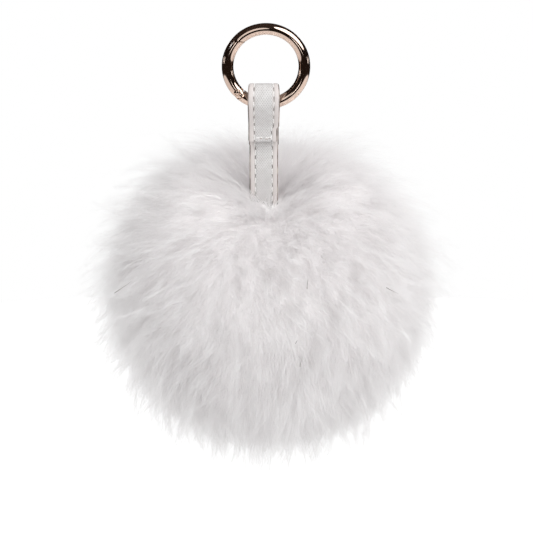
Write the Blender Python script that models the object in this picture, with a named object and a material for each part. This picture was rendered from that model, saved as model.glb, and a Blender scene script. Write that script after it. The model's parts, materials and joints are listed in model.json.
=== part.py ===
"""Fur ball key charm: a spring-gate ring, a folded leather strap and a fur ball, hanging straight down.

Metres, +Z up, -Y to the front. The origin is the highest point of the ring's inside, where it hangs.
"""

from math import acos, atan2, cos, pi, radians, sin, sqrt, tau

import bmesh
import bpy
from mathutils import Vector

# Ring: a round wire bent to a circle that stands in the XZ plane
WIRE_RADIUS = 0.00185
RING_RADIUS = 0.0122
RING_CENTRE_Z = WIRE_RADIUS - RING_RADIUS
WIRE_SIDES = 16
PIN_ANGLE = radians(221.7)
TIP_OUTER = radians(143.0)
TIP_INNER = radians(129.0)
LIP_END = radians(157.0)
LIP_FLOOR = 0.00105
KNUCKLE_RADIUS = 0.0020
TONGUE_HALF = 0.00055
TONGUE_WIDTH = 0.00125
PIN_RADIUS = 0.00060
PIN_HEAD_RADIUS = 0.00085
PIN_HEAD_SEAT = 0.00148
BORE_RADIUS = 0.00095
SPRING_RADIUS = 0.00062
SPRING_WIRE = 0.00014
SPRING_TURNS = 8
DRILL_REACH = 0.003
UNDER_SKIN = 0.00002

# Strap: a strip of two leather plies that starts at the front, goes round the ring and down to the ball
STRAP_X = -0.0007
STRAP_WIDTH = 0.0092
FLAP_WIDTH = 0.0102
PLY_INSIDE = 0.00015
PLY_OUTSIDE = 0.00085
LAP_Y = 0.00115
LOOP_RADIUS = 0.00385
LOOP_Z = -0.02068
LOOP_SIDE_Z = -0.0228
MEET_Z = -0.0290
FLAP_END_Z = -0.0346
SETTLE_TOP_Z = -0.0362
SETTLE_END_Z = -0.0450
SEAM_INSET = 0.0019
GROOVE_HALF = 0.00045
GROOVE_DEPTH = 0.00045
THREAD_RADIUS = 0.00015
TACK_Z = -0.0333
TACK_X = (-0.0026, 0.0003)
TACK_HALF = 0.0008
TACK_Y = 0.0024
TACK_THREAD = 0.0002
STITCH_HOLE = 0.0005

# Ball: its centre, its fur and what is inside
BALL_Z = -0.0838
FUR_ACROSS = 0.0525
FUR_TALL = 0.0500
FUR_POLE = 0.0273
DIMPLE_SLOPE = 0.325
DIMPLE_BLEND = 9
MOUTH_RADIUS = 0.0076
FLEX_Z = -0.0615
NECK_RADIUS = 0.0066
NECK_WALL = 0.0010
NECK_TALL = 0.0060
PELT_RADIUS = 0.0235
CORE_RADIUS = 0.0220
WELL_RADIUS = 0.0090
WELL_FLOOR = 0.0075
TAIL_END_Z = -0.0738
TAIL_HALF = 0.00085
GATHER_RADIUS = 0.0073
GATHER_THREAD = 0.0004
ANCHOR_X = 0.0022
ANCHOR_RISE = 0.0180
ANCHOR_REACH = 0.0072
KNOT_RADIUS = 0.00048

FIT_GAP = 0.0003
RUN_GAP = 0.0001


def clear_scene():
    for obj in list(bpy.data.objects):
        bpy.data.objects.remove(obj, do_unlink=True)


def material(name, colour, roughness, metallic=0.0):
    made = bpy.data.materials.new(name)
    made.use_nodes = True
    shader = made.node_tree.nodes["Principled BSDF"]
    shader.inputs["Base Color"].default_value = (*colour, 1.0)
    shader.inputs["Roughness"].default_value = roughness
    shader.inputs["Metallic"].default_value = metallic
    return made


def joint_axis(name, location):
    """An empty on a joint's axis, which the moving pieces hang on."""
    empty = bpy.data.objects.new(name, None)
    empty.location = location
    bpy.context.scene.collection.objects.link(empty)
    return empty


def solid(name, points, faces, finish, axis=None):
    """A closed mesh object, smooth on its round sides; its own origin is its joint's axis."""
    origin = Vector(axis.location) if axis else Vector((0.0, 0.0, 0.0))
    mesh = bpy.data.meshes.new(name)
    mesh.from_pydata([tuple(Vector(p) - origin) for p in points], [], faces)
    shape = bmesh.new()
    shape.from_mesh(mesh)
    bmesh.ops.recalc_face_normals(shape, faces=shape.faces)
    shape.to_mesh(mesh)
    shape.free()
    mesh.shade_smooth()
    mesh.set_sharp_from_angle(angle=radians(35))
    if finish:
        mesh.materials.append(finish)
    obj = bpy.data.objects.new(name, mesh)
    bpy.context.scene.collection.objects.link(obj)
    obj.parent = axis
    return obj


def combine(obj, other, operation):
    """A Boolean with another object, which is left out of the part."""
    other.hide_render = True
    other.display_type = "WIRE"
    boolean = obj.modifiers.new(operation.title(), "BOOLEAN")
    boolean.operation = operation
    boolean.solver = "EXACT"
    boolean.object = other


def rings_to_faces(rings, sides):
    """Quads between neighbouring rings of points, in order."""
    faces = []
    for i in range(rings - 1):
        for k in range(sides):
            after = (k + 1) % sides
            faces.append((i * sides + k, i * sides + after, (i + 1) * sides + after, (i + 1) * sides + k))
    return faces


def swept(name, rings, finish, axis=None):
    """A solid through a row of outlines, each a list of points in the same order, with flat ends."""
    sides = len(rings[0])
    points = [point for ring in rings for point in ring]
    faces = rings_to_faces(len(rings), sides)
    last = (len(rings) - 1) * sides
    faces.append(tuple(reversed(range(sides))))
    faces.append(tuple(last + k for k in range(sides)))
    return solid(name, points, faces, finish, axis)


def closed_loop(name, rings, finish, axis=None):
    """A solid through outlines that come back to the first."""
    sides = len(rings[0])
    points = [point for ring in rings for point in ring]
    total = len(points)
    faces = rings_to_faces(len(rings) + 1, sides)
    faces = [tuple(index % total for index in face) for face in faces]
    return solid(name, points, faces, finish, axis)


def rod(name, start, end, radius, sides, finish=None, axis=None):
    """A straight round bar between two points."""
    start, end = Vector(start), Vector(end)
    along = (end - start).normalized()
    side = along.orthogonal().normalized()
    up = along.cross(side)
    outline = [radius * (cos(tau * k / sides) * side + sin(tau * k / sides) * up) for k in range(sides)]
    return swept(name, [[start + p for p in outline], [end + p for p in outline]], finish, axis)


def tube(name, path, radius, sides, finish, axis=None, closed=False):
    """A round bar along a row of points, its outline carried from one point to the next."""
    count = len(path)
    side = None
    rings = []
    for i, point in enumerate(path):
        before = path[(i - 1) % count] if closed or i else point
        after = path[(i + 1) % count] if closed or i < count - 1 else point
        along = (after - before).normalized()
        side = along.orthogonal() if side is None else side - side.dot(along) * along
        side.normalize()
        up = along.cross(side)
        rings.append(
            [point + radius * (cos(tau * k / sides) * side + sin(tau * k / sides) * up) for k in range(sides)]
        )
    return closed_loop(name, rings, finish, axis) if closed else swept(name, rings, finish, axis)


def turned(name, profile, segments, finish, centre, axis=None):
    """A solid turned about a vertical line.

    A profile point is (radius, height). Points on the axis become one vertex each, and an outline whose
    ends both lie off the axis is closed on itself.
    """
    centre = Vector(centre)
    points = []
    rows = []
    for radius, height in profile:
        if radius < 1e-9:
            rows.append([len(points)] * segments)
            points.append(centre + Vector((0.0, 0.0, height)))
            continue
        rows.append([len(points) + k for k in range(segments)])
        for k in range(segments):
            turn = tau * k / segments
            points.append(centre + Vector((radius * cos(turn), radius * sin(turn), height)))
    if profile[0][0] > 1e-9:
        rows.append(rows[0])
    faces = []
    for upper, lower in zip(rows, rows[1:]):
        for k in range(segments):
            after = (k + 1) % segments
            corners = (upper[k], lower[k], lower[after], upper[after])
            faces.append(tuple(dict.fromkeys(corners)))
    return solid(name, points, faces, finish, axis)


def ring_point(angle, out=0.0, across=0.0):
    """A point by its angle round the ring, its distance out from the wire's middle and its place along Y."""
    reach = RING_RADIUS + out
    return Vector((reach * cos(angle), across, RING_CENTRE_Z + reach * sin(angle)))


def round_section(radius, sides):
    """(out, across) round the wire, in pairs that mirror each other across the ring's plane."""
    return [(radius * cos(tau * k / sides), radius * sin(tau * k / sides)) for k in range(sides)]


def wire_arc(name, start, end, steps, section, finish, axis=None):
    """A stretch of wire. start and end give the angle where it stops for each distance out."""
    sides = len(section)
    points = []
    for i in range(steps + 1):
        share = i / steps
        for out, across in section:
            angle = start(out) * (1 - share) + end(out) * share
            points.append(ring_point(angle, out, across))
    faces = rings_to_faces(steps + 1, sides)
    last = steps * sides
    half = sides // 2
    for k in range(half):
        cap = tuple(dict.fromkeys((k, (sides - k) % sides, sides - k - 1, k + 1)))
        faces.append(cap)
        faces.append(tuple(last + index for index in reversed(cap)))
    return solid(name, points, faces, finish, axis)


def plate_arc(name, start, end, steps, inner, outer, half):
    """A flat strip that follows the wire: from inner to outer, half its thickness each side of the plane."""
    rings = []
    for i in range(steps + 1):
        angle = start + (end - start) * i / steps
        corners = ((inner, -half), (inner, half), (outer, half), (outer, -half))
        rings.append([ring_point(angle, out, across) for out, across in corners])
    return swept(name, rings, None)


def pin_distance_angle(distance):
    """The angle past the pin at which a point, by its distance out, is this far from the pin's axis."""

    def angle(out):
        reach = RING_RADIUS + out
        cosine = (reach**2 + RING_RADIUS**2 - distance**2) / (2 * RING_RADIUS * reach)
        return PIN_ANGLE + acos(max(-1.0, min(1.0, cosine)))

    return angle


def slanted_tip(shift):
    """The sloping joint at the gate's tip: further round on the outside of the ring than on its inside."""

    def angle(out):
        share = (out / WIRE_RADIUS + 1) / 2
        return TIP_INNER + (TIP_OUTER - TIP_INNER) * share + shift / RING_RADIUS

    return angle


def pin_bar(name, low_y, high_y, radius, sides=24, finish=None):
    """A bar on the gate's hinge axis."""
    at = ring_point(PIN_ANGLE)
    return rod(name, (at.x, low_y, at.z), (at.x, high_y, at.z), radius, sides, finish)


def make_ring_body(finish):
    section = round_section(WIRE_RADIUS, WIRE_SIDES)
    shoulder = pin_distance_angle(KNUCKLE_RADIUS + FIT_GAP)
    tip = slanted_tip(-FIT_GAP / 2)

    def full_turn(out):
        return tip(out) + tau

    body = wire_arc("ring_body", shoulder, full_turn, 64, section, finish)
    depth = WIRE_RADIUS - 2 * UNDER_SKIN
    lip_outline = []
    for k in range(-4, 5):
        turn = acos(LIP_FLOOR / depth) * k / 4
        lip_outline.append((depth * cos(turn), depth * sin(turn)))
    rings = []
    for i in range(7):
        angle = TIP_OUTER - radians(5) + (LIP_END - TIP_OUTER + radians(5)) * i / 6
        rings.append([ring_point(angle, out, across) for out, across in reversed(lip_outline)])
    combine(body, swept("lip_shape", rings, None), "UNION")
    tongue_end = shoulder(0.0) + radians(5)
    strip_half = TONGUE_WIDTH - UNDER_SKIN
    strip = plate_arc("tongue_strip", PIN_ANGLE, tongue_end, 6, -strip_half, strip_half, TONGUE_HALF)
    combine(body, strip, "UNION")
    eye_half = TONGUE_HALF - UNDER_SKIN / 2
    eye = pin_bar("tongue_eye", -eye_half, eye_half, TONGUE_WIDTH)
    combine(body, eye, "UNION")
    combine(body, pin_bar("tongue_hole", -DRILL_REACH, DRILL_REACH, PIN_RADIUS + RUN_GAP), "DIFFERENCE")


def make_gate(finish, axis):
    section = round_section(WIRE_RADIUS, WIRE_SIDES)
    knuckle = pin_distance_angle(KNUCKLE_RADIUS)
    gate = wire_arc("ring_gate", slanted_tip(FIT_GAP / 2), knuckle, 24, section, finish, axis)
    recess = plate_arc(
        "lip_recess",
        TIP_INNER,
        LIP_END + FIT_GAP / RING_RADIUS,
        8,
        LIP_FLOOR - FIT_GAP,
        2 * WIRE_RADIUS,
        2 * WIRE_RADIUS,
    )
    combine(gate, recess, "DIFFERENCE")
    slot_half = TONGUE_HALF + FIT_GAP
    slot = plate_arc(
        "fork_slot", PIN_ANGLE, PIN_ANGLE + radians(20), 6, -2 * WIRE_RADIUS, 2 * WIRE_RADIUS, slot_half
    )
    combine(gate, slot, "DIFFERENCE")
    combine(gate, pin_bar("fork_pocket", -slot_half, slot_half, TONGUE_WIDTH + FIT_GAP), "DIFFERENCE")
    combine(gate, pin_bar("fork_hole", -DRILL_REACH, DRILL_REACH, PIN_RADIUS + RUN_GAP), "DIFFERENCE")
    for side in (-1, 1):
        floor = side * (PIN_HEAD_SEAT - FIT_GAP)
        seat = pin_bar(f"head_seat_{side}", floor, side * DRILL_REACH, PIN_HEAD_RADIUS + RUN_GAP)
        combine(gate, seat, "DIFFERENCE")
    bore = rod("spring_bore", ring_point(radians(216)), ring_point(radians(186)), BORE_RADIUS, 16)
    combine(gate, bore, "DIFFERENCE")


def make_pin(finish):
    """A rivet: a bar with a low head at each end."""
    at = ring_point(PIN_ANGLE)
    top = WIRE_RADIUS + 0.00008
    profile = [
        (0.0, top + 0.00006),
        (PIN_HEAD_RADIUS * 0.6, top),
        (PIN_HEAD_RADIUS, top - 0.00016),
        (PIN_HEAD_RADIUS, PIN_HEAD_SEAT),
        (PIN_RADIUS, PIN_HEAD_SEAT),
    ]
    profile += [(radius, -height) for radius, height in reversed(profile)]
    sides = 24
    points = []
    rows = []
    for radius, height in profile:
        count = 1 if radius < 1e-9 else sides
        rows.append([len(points) + (k if count > 1 else 0) for k in range(sides)])
        for k in range(count):
            turn = tau * k / sides
            points.append((at.x + radius * cos(turn), height, at.z + radius * sin(turn)))
    faces = []
    for upper, lower in zip(rows, rows[1:]):
        for k in range(sides):
            after = (k + 1) % sides
            corners = (upper[k], upper[after], lower[after], lower[k])
            faces.append(tuple(dict.fromkeys(corners)))
    return solid("gate_pin", points, faces, finish)


def make_gate_spring(finish, axis):
    start = ring_point(radians(213.4))
    end = ring_point(radians(187.4))
    along = (end - start).normalized()
    side = along.orthogonal().normalized()
    up = along.cross(side)
    steps = 8 * SPRING_TURNS
    path = []
    for i in range(steps + 1):
        turn = tau * SPRING_TURNS * i / steps
        path.append(start.lerp(end, i / steps) + SPRING_RADIUS * (cos(turn) * side + sin(turn) * up))
    return tube("gate_spring", path, SPRING_WIRE, 5, finish, axis)


def strap_path():
    """The middle of the strip as (y, z), from its free end at the front, round the ring, down to the ball."""
    corners = [
        (-LAP_Y, FLAP_END_Z),
        (-LAP_Y, MEET_Z - 0.0015),
        (-LAP_Y, MEET_Z),
        (-LOOP_RADIUS, LOOP_SIDE_Z),
    ]
    corners += [(-LOOP_RADIUS * cos(pi * k / 8), LOOP_Z + LOOP_RADIUS * sin(pi * k / 8)) for k in range(9)]
    corners += [(LOOP_RADIUS, LOOP_SIDE_Z), (LAP_Y, MEET_Z), (LAP_Y, SETTLE_TOP_Z)]
    for k in range(1, 5):
        share = k / 4
        ease = share * share * (3 - 2 * share)
        corners.append((LAP_Y * (1 - ease), SETTLE_TOP_Z + (SETTLE_END_Z - SETTLE_TOP_Z) * share))
    corners += [(0.0, (SETTLE_END_Z + FLEX_Z) / 2), (0.0, FLEX_Z + 0.0002)]
    return rounded(corners, 1)


def rounded(points, rounds):
    """Cuts the corners of an open row of points, keeping its two ends."""
    for _ in range(rounds):
        cut = [points[0]]
        for a, b in zip(points, points[1:]):
            cut.append(tuple(0.75 * p + 0.25 * q for p, q in zip(a, b)))
            cut.append(tuple(0.25 * p + 0.75 * q for p, q in zip(a, b)))
        points = cut + [points[-1]]
    return points


def strap_stations():
    """(y, z), the outward direction and the half width at each point of the strip."""
    path = strap_path()
    stations = []
    for i, (y, z) in enumerate(path):
        before = path[max(i - 1, 0)]
        after = path[min(i + 1, len(path) - 1)]
        dy, dz = after[0] - before[0], after[1] - before[1]
        length = sqrt(dy * dy + dz * dz)
        front = (LOOP_RADIUS - y) / (2 * LOOP_RADIUS)
        share = min(max(front, 0.0), 1.0) if z > SETTLE_TOP_Z or y < 0 else 0.0
        half = (STRAP_WIDTH + (FLAP_WIDTH - STRAP_WIDTH) * share) / 2
        stations.append(((y, z), (-dz / length, dy / length), half))
    return stations


def strip(name, outline, finish, axis):
    """A strip along the strap. outline(half width) gives its section as (x, outward) points."""
    rings = []
    for (y, z), (out_y, out_z), half in strap_stations():
        rings.append([(STRAP_X + x, y + out * out_y, z + out * out_z) for x, out in outline(half)])
    return swept(name, rings, finish, axis)


def grooved_outline(half):
    """The outer ply's section, with a groove along each edge for the seam thread."""
    outline = [(-half, PLY_INSIDE), (half, PLY_INSIDE), (half, PLY_OUTSIDE)]
    for middle in (half - SEAM_INSET, SEAM_INSET - half):
        outline += [
            (middle + GROOVE_HALF, PLY_OUTSIDE),
            (middle + GROOVE_HALF, PLY_OUTSIDE - GROOVE_DEPTH),
            (middle - GROOVE_HALF, PLY_OUTSIDE - GROOVE_DEPTH),
            (middle - GROOVE_HALF, PLY_OUTSIDE),
        ]
    outline.append((-half, PLY_OUTSIDE))
    return outline


def plain_outline(half):
    return [(-half, -PLY_OUTSIDE), (half, -PLY_OUTSIDE), (half, -PLY_INSIDE), (-half, -PLY_INSIDE)]


def make_plies(outer_finish, inner_finish, axis):
    outer = strip("strap_outer_ply", grooved_outline, outer_finish, axis)
    inner = strip("strap_inner_ply", plain_outline, inner_finish, axis)
    for i, x in enumerate(TACK_X):
        for j, side in enumerate((-1, 1)):
            at = x + side * TACK_HALF
            hole = rod(f"tack_hole_{i}_{j}", (at, -0.004, TACK_Z), (at, 0.004, TACK_Z), STITCH_HOLE, 8)
            combine(outer, hole, "DIFFERENCE")
            combine(inner, hole, "DIFFERENCE")


def make_seam_threads(finish, axis):
    for name, side in (("seam_thread_left", -1), ("seam_thread_right", 1)):
        lift = PLY_OUTSIDE - GROOVE_DEPTH + FIT_GAP + THREAD_RADIUS
        path = []
        for (y, z), (out_y, out_z), half in strap_stations():
            path.append(Vector((STRAP_X + side * (half - SEAM_INSET), y + lift * out_y, z + lift * out_z)))
        tube(name, path, THREAD_RADIUS, 6, finish, axis)


def make_tacks(finish, axis):
    """A loop of thread through all the plies, one on each side of the strap's middle."""
    for name, x in zip(("tack_left", "tack_right"), TACK_X):
        corners = []
        for sx, sy in ((-1, -1), (1, -1), (1, 1), (-1, 1)):
            near = Vector((x + sx * TACK_HALF, sy * TACK_Y, TACK_Z))
            for k in range(3):
                turn = atan2(sy, sx) - pi / 4 + pi / 4 * k
                corners.append(near + Vector((cos(turn) - sx, sin(turn) - sy, 0.0)) * 0.0003)
        tube(name, corners, TACK_THREAD, 6, finish, axis, closed=True)


def make_strap_tail(finish, axis):
    """The end of the strip below the line where it flexes, sewn into the ball's neck."""
    rings = []
    for share, width in ((0.0, 1.0), (0.7, 1.0), (0.92, 0.86), (1.0, 0.62)):
        z = FLEX_Z - 0.0012 + (TAIL_END_Z - FLEX_Z + 0.0012) * share
        half = STRAP_WIDTH / 2 * width
        corners = ((-half, -TAIL_HALF), (-half, TAIL_HALF), (half, TAIL_HALF), (half, -TAIL_HALF))
        rings.append([(STRAP_X + x, y, z) for x, y in corners])
    tail = swept("strap_tail", rings, finish, axis)
    for side in (-1, 1):
        combine(tail, anchor_hole(side, "tail"), "DIFFERENCE")


def anchor_line(side, reach):
    x = STRAP_X + side * ANCHOR_X
    z = BALL_Z + ANCHOR_RISE
    return (x, -reach, z), (x, reach, z)


def anchor_hole(side, name):
    return rod(f"{name}_hole_{side}", *anchor_line(side, 0.012), STITCH_HOLE, 8)


def make_anchor_stitches(finish, axis):
    """Two threads straight through the neck and the strap's tail, knotted at both ends."""
    for name, side in (("anchor_stitch_left", -1), ("anchor_stitch_right", 1)):
        start, end = (Vector(point) for point in anchor_line(side, ANCHOR_REACH))
        along = (end - start).normalized()
        marks = [(-0.0002, 0.4), (0.0, 1.0), (0.0006, 1.0), (0.0008, 0.42)]
        length = (end - start).length
        marks += [(length - place, scale) for place, scale in reversed(marks)]
        rings = []
        for place, scale in marks:
            centre = start + along * place
            radius = KNOT_RADIUS * scale
            rings.append(
                [centre + radius * Vector((cos(tau * k / 8), 0.0, sin(tau * k / 8))) for k in range(8)]
            )
        swept(name, rings, finish, axis)


def make_gather_thread(finish, axis):
    """The drawstring round the outside of the neck."""
    centre = Vector((STRAP_X, 0.0, BALL_Z + ANCHOR_RISE + 0.0021))
    path = []
    for k in range(24):
        turn = tau * k / 24
        path.append(centre + GATHER_RADIUS * Vector((cos(turn), sin(turn), 0.0)))
    tube("gather_thread", path, GATHER_THREAD, 6, finish, axis, closed=True)


def arc_profile(radius, first, last, steps):
    """Profile points on a circle, by the angle from straight up."""
    points = []
    for k in range(steps + 1):
        angle = first + (last - first) * k / steps
        reach = 0.0 if abs(angle - pi) < 1e-9 else radius * sin(angle)
        points.append((reach, radius * cos(angle)))
    return points


def neck_angle(radius, reach):
    return acos(sqrt(radius**2 - reach**2) / radius)


def make_pelt(finish, axis):
    """The skin that the fur grows from: a pouch whose edge turns down into a neck round the strap."""
    inside = PELT_RADIUS - NECK_WALL
    inner_wall = NECK_RADIUS - NECK_WALL
    top = sqrt(PELT_RADIUS**2 - NECK_RADIUS**2)
    low = top - NECK_TALL
    profile = arc_profile(inside, pi, neck_angle(inside, NECK_RADIUS + FIT_GAP), 10)
    profile += [(NECK_RADIUS, top - 0.0014), (NECK_RADIUS, low)]
    profile += [(inner_wall, low), (inner_wall, top - 0.0004)]
    profile += arc_profile(PELT_RADIUS, neck_angle(PELT_RADIUS, NECK_RADIUS), pi, 10)
    pelt = turned("pelt_backing", profile, 28, finish, (STRAP_X, 0.0, BALL_Z), axis)
    for side in (-1, 1):
        combine(pelt, anchor_hole(side, "neck"), "DIFFERENCE")


def make_core(finish, axis):
    """The stuffing, with a well at the top for the strap's tail."""
    rim = neck_angle(CORE_RADIUS, WELL_RADIUS + 0.0006)
    ball = arc_profile(CORE_RADIUS, rim, pi, 9)
    well = [(0.0, WELL_FLOOR), (WELL_RADIUS * 0.8, WELL_FLOOR), (WELL_RADIUS, WELL_FLOOR + 0.0015)]
    well.append((WELL_RADIUS, ball[0][1] - 0.0006))
    turned("stuffing_core", well + ball, 28, finish, (STRAP_X, 0.0, BALL_Z), axis)


def fur_reach(angle):
    """Distance from the ball's centre to the fur's surface, by the angle from straight up.

    The surface is an ellipsoid, except for a wide shallow cone at the top that the strap comes out of.
    """
    ball = 1.0 / sqrt((sin(angle) / FUR_ACROSS) ** 2 + (cos(angle) / FUR_TALL) ** 2)
    slope = cos(angle) - DIMPLE_SLOPE * sin(angle)
    if slope < 0.2:
        return ball
    cone = FUR_POLE / slope
    return (ball**-DIMPLE_BLEND + cone**-DIMPLE_BLEND) ** (-1.0 / DIMPLE_BLEND)


def make_fur(finish, axis):
    """The pile: thick all round, hollow for the stuffed pelt, open at the top for the strap."""
    inner = PELT_RADIUS + FIT_GAP
    neck = NECK_RADIUS + 0.0002
    inside = arc_profile(inner, pi, neck_angle(inner, neck), 10)
    lip = FUR_POLE + DIMPLE_SLOPE * MOUTH_RADIUS
    mouth = [(neck, inside[-1][1] + 0.0008), (MOUTH_RADIUS - 0.0004, lip - 0.0008)]
    first = atan2(MOUTH_RADIUS, lip)
    outside = []
    for k in range(25):
        angle = first + (pi - first) * k / 24
        reach = fur_reach(angle)
        outside.append((0.0 if k == 24 else reach * sin(angle), reach * cos(angle)))
    turned("fur_pile", inside + mouth + outside, 32, finish, (STRAP_X, 0.0, BALL_Z), axis)


def main():
    clear_scene()
    gold = material("rose_gold", (0.86, 0.68, 0.55), 0.08, 1.0)
    steel = material("spring_steel", (0.62, 0.62, 0.63), 0.25, 1.0)
    leather = material("white_leather", (0.80, 0.78, 0.77), 0.45)
    lining = material("white_lining", (0.78, 0.76, 0.75), 0.55)
    thread = material("white_thread", (0.82, 0.80, 0.78), 0.7)
    skin = material("pelt_skin", (0.74, 0.70, 0.66), 0.85)
    wadding = material("wadding", (0.88, 0.88, 0.88), 0.95)
    fur = material("white_fur", (0.86, 0.83, 0.84), 0.9)
    gate_axis = joint_axis("gate_axis", ring_point(PIN_ANGLE))
    strap_axis = joint_axis("strap_axis", (0.0, 0.0, -0.0218))
    ball_axis = joint_axis("ball_axis", (STRAP_X, 0.0, FLEX_Z))
    ball_axis.parent = strap_axis
    ball_axis.matrix_parent_inverse.translation = -Vector(strap_axis.location)
    make_ring_body(gold)
    make_pin(gold)
    make_gate(gold, gate_axis)
    make_gate_spring(steel, gate_axis)
    make_plies(leather, lining, strap_axis)
    make_seam_threads(thread, strap_axis)
    make_tacks(thread, strap_axis)
    make_strap_tail(leather, ball_axis)
    make_anchor_stitches(thread, ball_axis)
    make_gather_thread(thread, ball_axis)
    make_pelt(skin, ball_axis)
    make_core(wadding, ball_axis)
    make_fur(fur, ball_axis)


main()
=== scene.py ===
"""Looks of the fur ball key charm: mirror gold ring, grained white leather strap and long white fur.

Metres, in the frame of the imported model: +Z up, -Y to the front, the ring's inside top at the origin.
"""

from math import acos, asin, cos, pi, radians, sin, sqrt, tau

import bmesh
import bpy
import numpy as np
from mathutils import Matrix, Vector
from mathutils.kdtree import KDTree
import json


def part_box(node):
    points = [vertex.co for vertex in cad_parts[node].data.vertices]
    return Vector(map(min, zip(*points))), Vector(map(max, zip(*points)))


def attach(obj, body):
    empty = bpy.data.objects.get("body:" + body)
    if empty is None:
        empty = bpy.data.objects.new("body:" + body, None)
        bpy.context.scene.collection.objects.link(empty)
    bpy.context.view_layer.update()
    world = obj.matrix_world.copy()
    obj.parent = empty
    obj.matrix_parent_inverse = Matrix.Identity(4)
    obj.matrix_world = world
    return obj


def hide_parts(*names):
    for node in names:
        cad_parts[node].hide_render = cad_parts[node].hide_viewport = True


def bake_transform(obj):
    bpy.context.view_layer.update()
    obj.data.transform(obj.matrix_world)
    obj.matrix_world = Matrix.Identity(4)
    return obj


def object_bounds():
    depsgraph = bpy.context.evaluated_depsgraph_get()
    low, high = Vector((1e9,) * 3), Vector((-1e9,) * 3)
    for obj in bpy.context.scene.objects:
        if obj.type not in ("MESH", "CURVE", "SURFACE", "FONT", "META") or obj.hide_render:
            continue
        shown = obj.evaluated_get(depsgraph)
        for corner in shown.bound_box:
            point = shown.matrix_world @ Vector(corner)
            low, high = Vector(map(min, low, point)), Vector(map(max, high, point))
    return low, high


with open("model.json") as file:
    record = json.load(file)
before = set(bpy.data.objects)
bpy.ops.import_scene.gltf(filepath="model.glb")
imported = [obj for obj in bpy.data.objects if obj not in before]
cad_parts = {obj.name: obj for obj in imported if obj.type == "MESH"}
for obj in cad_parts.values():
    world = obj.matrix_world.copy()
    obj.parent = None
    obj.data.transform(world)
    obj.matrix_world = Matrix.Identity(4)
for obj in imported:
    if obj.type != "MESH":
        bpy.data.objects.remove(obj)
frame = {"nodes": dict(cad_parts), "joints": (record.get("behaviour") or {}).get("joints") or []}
cad_low, cad_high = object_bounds()
JOINTS = {joint["name"]: joint for joint in frame["joints"]}
SEED = 20

# Camera and room
ELEVATION = radians(18)
LENS = 200
AIM = Vector((0.00016, 0.0, -0.0771))
CAMERA_DISTANCE = 0.960
FLOOR_DROP = 0.16
FLOOR_RADIUS = 0.62
SOFTBOX_TURN = 0.23
SOFTBOX_WIDE = 0.030
SOFTBOX_LEVEL = -0.07
SOFTBOX_TALL = 0.075

# Ring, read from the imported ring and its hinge
RING_LOW, RING_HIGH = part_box("ring_body")
WIRE = (RING_HIGH[1] - RING_LOW[1]) / 2
RING_RADIUS = (RING_HIGH[2] - RING_LOW[2]) / 2 - WIRE
RING_CENTRE = Vector((0.0, 0.0, (RING_HIGH[2] + RING_LOW[2]) / 2))
PIN = Vector(JOINTS["gate_open"]["pos_m"])

TIP_OUTER = radians(143.0)
TIP_INNER = radians(129.0)
LIP_END = radians(157.0)
LIP_DEPTH = 0.0008
KNUCKLE = 0.0020
JOINT_GAP = 0.00018
PIN_HEAD = 0.00085
TONGUE_HALF = 0.00055
TONGUE_WIDTH = 0.00123
EYE_RADIUS = 0.00125
EYE_POCKET = 0.0016
KNUCKLE_GAP = 0.0003
LIP_GAP = 0.00022
TONGUE_GAP = 0.0003

# Strap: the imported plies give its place; the strip's middle line is the same as theirs
STRAP_LOW, STRAP_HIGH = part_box("strap_outer_ply")
STRAP_X = (STRAP_LOW[0] + STRAP_HIGH[0]) / 2
FLEX = Vector(JOINTS["ball_flex"]["pos_m"])
FLAP_HALF = (STRAP_HIGH[0] - STRAP_LOW[0]) / 2
STRAP_HALF = 0.0046
THICKNESS = 0.0017
FLAP_END_Z = -0.0346
LAP_Y = 0.00115
LOOP_RADIUS = 0.00385
LOOP_Z = -0.02068
LOOP_SIDE_Z = -0.0228
MEET_Z = -0.0290
SETTLE_TOP_Z = -0.0362
SETTLE_END_Z = -0.0450
STRAP_END_Z = FLEX.z - 0.0090
NOTCH_Z = -0.0300
NOTCH = 0.0006
SEAM_INSET = 0.0019
STITCH_PITCH = 0.0030
STITCH_LENGTH = 0.0019
STITCH_RADIUS = 0.00017
TACK_Z = -0.0333

# Ball: its top is a shallow slope that faces the front, which the strap comes out of
FUR_LOW, FUR_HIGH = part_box("fur_pile")
BALL_CENTRE = Vector((0.0011, 0.0, -0.0838))
BALL_ACROSS = 0.0570
BALL_TALL = 0.0560
POLE_HEIGHT = 0.0328
SIDE_SLOPE = 0.28
BACK_SLOPE = 1.05
BACK_POWER = 2.0
TOP_LEAN = 0.12
TOP_REACH = 0.85
DIMPLE_BLEND = 9.0
HAIR_ROOT = 0.78
COLLAR_NEAR = 0.05
COLLAR_FAR = 0.40
COLLAR_BEHIND = 0.70
HAIR_REACH = 0.0122
PELT_WALL = 0.0009
NECK_RADIUS = 0.0065
NECK_TALL = 0.0060
WELL_RADIUS = 0.0091
WELL_FLOOR = 0.0074
GATHERS = 18
MOST_TRIANGLES = 190000


# ---------------------------------------------------------------- materials


def new_material(name):
    """A new material that uses nodes: the material, its node tree and its Principled shader."""
    made = bpy.data.materials.new(name)
    made.use_nodes = True
    tree = made.node_tree
    return made, tree, tree.nodes["Principled BSDF"]


def node(tree, kind, **values):
    made = tree.nodes.new(kind)
    for key, value in values.items():
        if key in made.inputs:
            made.inputs[key].default_value = value
        else:
            setattr(made, key, value)
    return made


def ramp(tree, source, stops):
    """A colour ramp from (place, grey or colour) stops."""
    made = tree.nodes.new("ShaderNodeValToRGB")
    elements = made.color_ramp.elements
    while len(elements) < len(stops):
        elements.new(0.5)
    for element, (place, colour) in zip(elements, stops):
        element.position = place
        element.color = (*colour, 1.0) if isinstance(colour, tuple) else (colour, colour, colour, 1.0)
    tree.links.new(source, made.inputs["Fac"])
    return made.outputs["Color"]


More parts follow.
